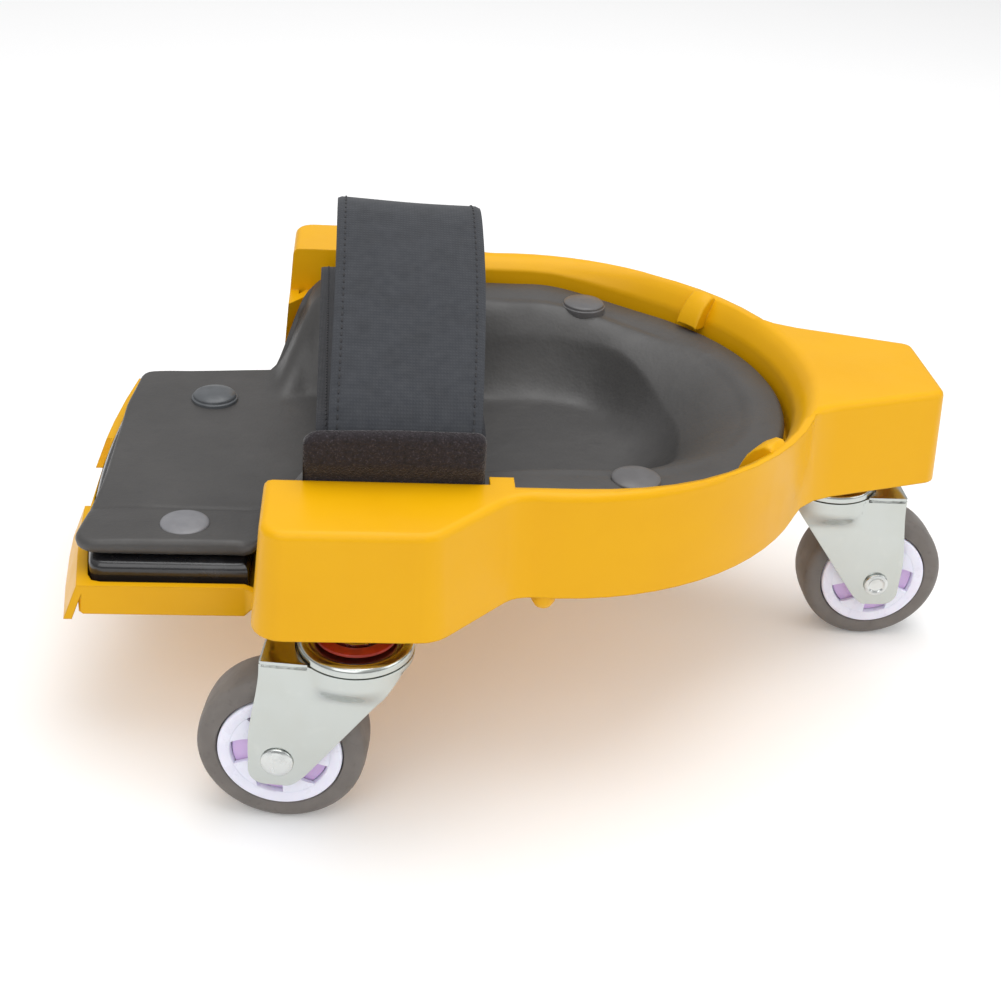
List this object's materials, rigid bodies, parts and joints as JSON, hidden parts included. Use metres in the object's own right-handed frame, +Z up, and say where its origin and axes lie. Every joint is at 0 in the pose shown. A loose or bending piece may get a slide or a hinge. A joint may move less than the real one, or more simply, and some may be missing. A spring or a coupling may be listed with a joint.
{
  "type": "knee creeper",
  "caption": "Low rolling knee creeper: yellow moulded platform with a padded knee cup and shin rest, a doubled cinch strap over the calf and swivel casters.",
  "frame": {"origin": "on the floor, under the middle of the object's outer box", "axes": "+X towards the nose caster, +Y to the wearer's left, +Z up"},
  "size_m": [0.3022, 0.242, 0.1536],
  "materials": {
    "shell_plastic": "satin moulded yellow plastic",
    "pad_foam": "matt dark grey closed-cell foam with a smooth skin",
    "underlay_foam": "glossy black foam",
    "button_plastic": "satin grey plastic",
    "strap_webbing": "blue-charcoal woven webbing with stitched edges",
    "strap_fuzz": "dark hook-and-loop pile",
    "zinc_steel": "bright zinc plating",
    "bright_steel": "bright turned steel",
    "insert_brass": "turned brass",
    "ring_red": "satin red plastic",
    "hub_white": "glossy white plastic",
    "core_lavender": "glossy lavender plastic",
    "tyre_grey": "satin grey-brown soft rubber tread"
  },
  "bodies": {
    "frame": {"shell": "shell_plastic", "knee_pad": "pad_foam", "shin_underlay": "underlay_foam", "pad_button_right_tongue": "button_plastic", "pad_button_left_tongue": "button_plastic", "pad_button_right_cup": "button_plastic", "pad_button_left_cup": "button_plastic", "strap_band": "strap_webbing", "strap_inner": "strap_webbing", "strap_fuzzy_tab": "strap_fuzz", "right_rear_stem": "bright_steel", "right_rear_threaded_insert": "insert_brass", "right_rear_top_race": "zinc_steel", "right_rear_dust_ring": "ring_red", "right_rear_ball_cage": "bright_steel", "left_rear_stem": "bright_steel", "left_rear_threaded_insert": "insert_brass", "left_rear_top_race": "zinc_steel", "left_rear_dust_ring": "ring_red", "left_rear_ball_cage": "bright_steel", "front_stem": "bright_steel", "front_threaded_insert": "insert_brass", "front_top_race": "zinc_steel", "front_dust_ring": "ring_red", "front_ball_cage": "bright_steel"},
    "right_rear_swivel": {"right_rear_fork": "zinc_steel", "right_rear_axle_rivet": "bright_steel", "right_rear_axle_sleeve": "bright_steel"},
    "right_rear_wheel": {"right_rear_hub": "hub_white", "right_rear_hub_core": "core_lavender", "right_rear_tyre": "tyre_grey"},
    "left_rear_swivel": {"left_rear_fork": "zinc_steel", "left_rear_axle_rivet": "bright_steel", "left_rear_axle_sleeve": "bright_steel"},
    "left_rear_wheel": {"left_rear_hub": "hub_white", "left_rear_hub_core": "core_lavender", "left_rear_tyre": "tyre_grey"},
    "front_swivel": {"front_fork": "zinc_steel", "front_axle_rivet": "bright_steel", "front_axle_sleeve": "bright_steel"},
    "front_wheel": {"front_hub": "hub_white", "front_hub_core": "core_lavender", "front_tyre": "tyre_grey"}
  },
  "joints": [
    {"name": "right_rear_swivel_turn", "type": "hinge", "parent": "frame", "child": "right_rear_swivel", "pos_m": [-0.058, -0.104, 0.06], "axis": [0, 0, 1], "continuous": true},
    {"name": "right_rear_wheel_spin", "type": "hinge", "parent": "right_rear_swivel", "child": "right_rear_wheel", "pos_m": [-0.07834, -0.10143, 0.025], "axis": [0.1253, 0.9921, 0], "continuous": true},
    {"name": "left_rear_swivel_turn", "type": "hinge", "parent": "frame", "child": "left_rear_swivel", "pos_m": [-0.058, 0.104, 0.06], "axis": [0, 0, 1], "continuous": true},
    {"name": "left_rear_wheel_spin", "type": "hinge", "parent": "left_rear_swivel", "child": "left_rear_wheel", "pos_m": [-0.07839, 0.10186, 0.025], "axis": [-0.1045, 0.9945, 0], "continuous": true},
    {"name": "front_swivel_turn", "type": "hinge", "parent": "frame", "child": "front_swivel", "pos_m": [0.106, 0, 0.06], "axis": [0, 0, 1], "continuous": true},
    {"name": "front_wheel_spin", "type": "hinge", "parent": "front_swivel", "child": "front_wheel", "pos_m": [0.1265, -0.00029, 0.025], "axis": [-0.014, -0.9999, 0], "continuous": true}
  ]
}
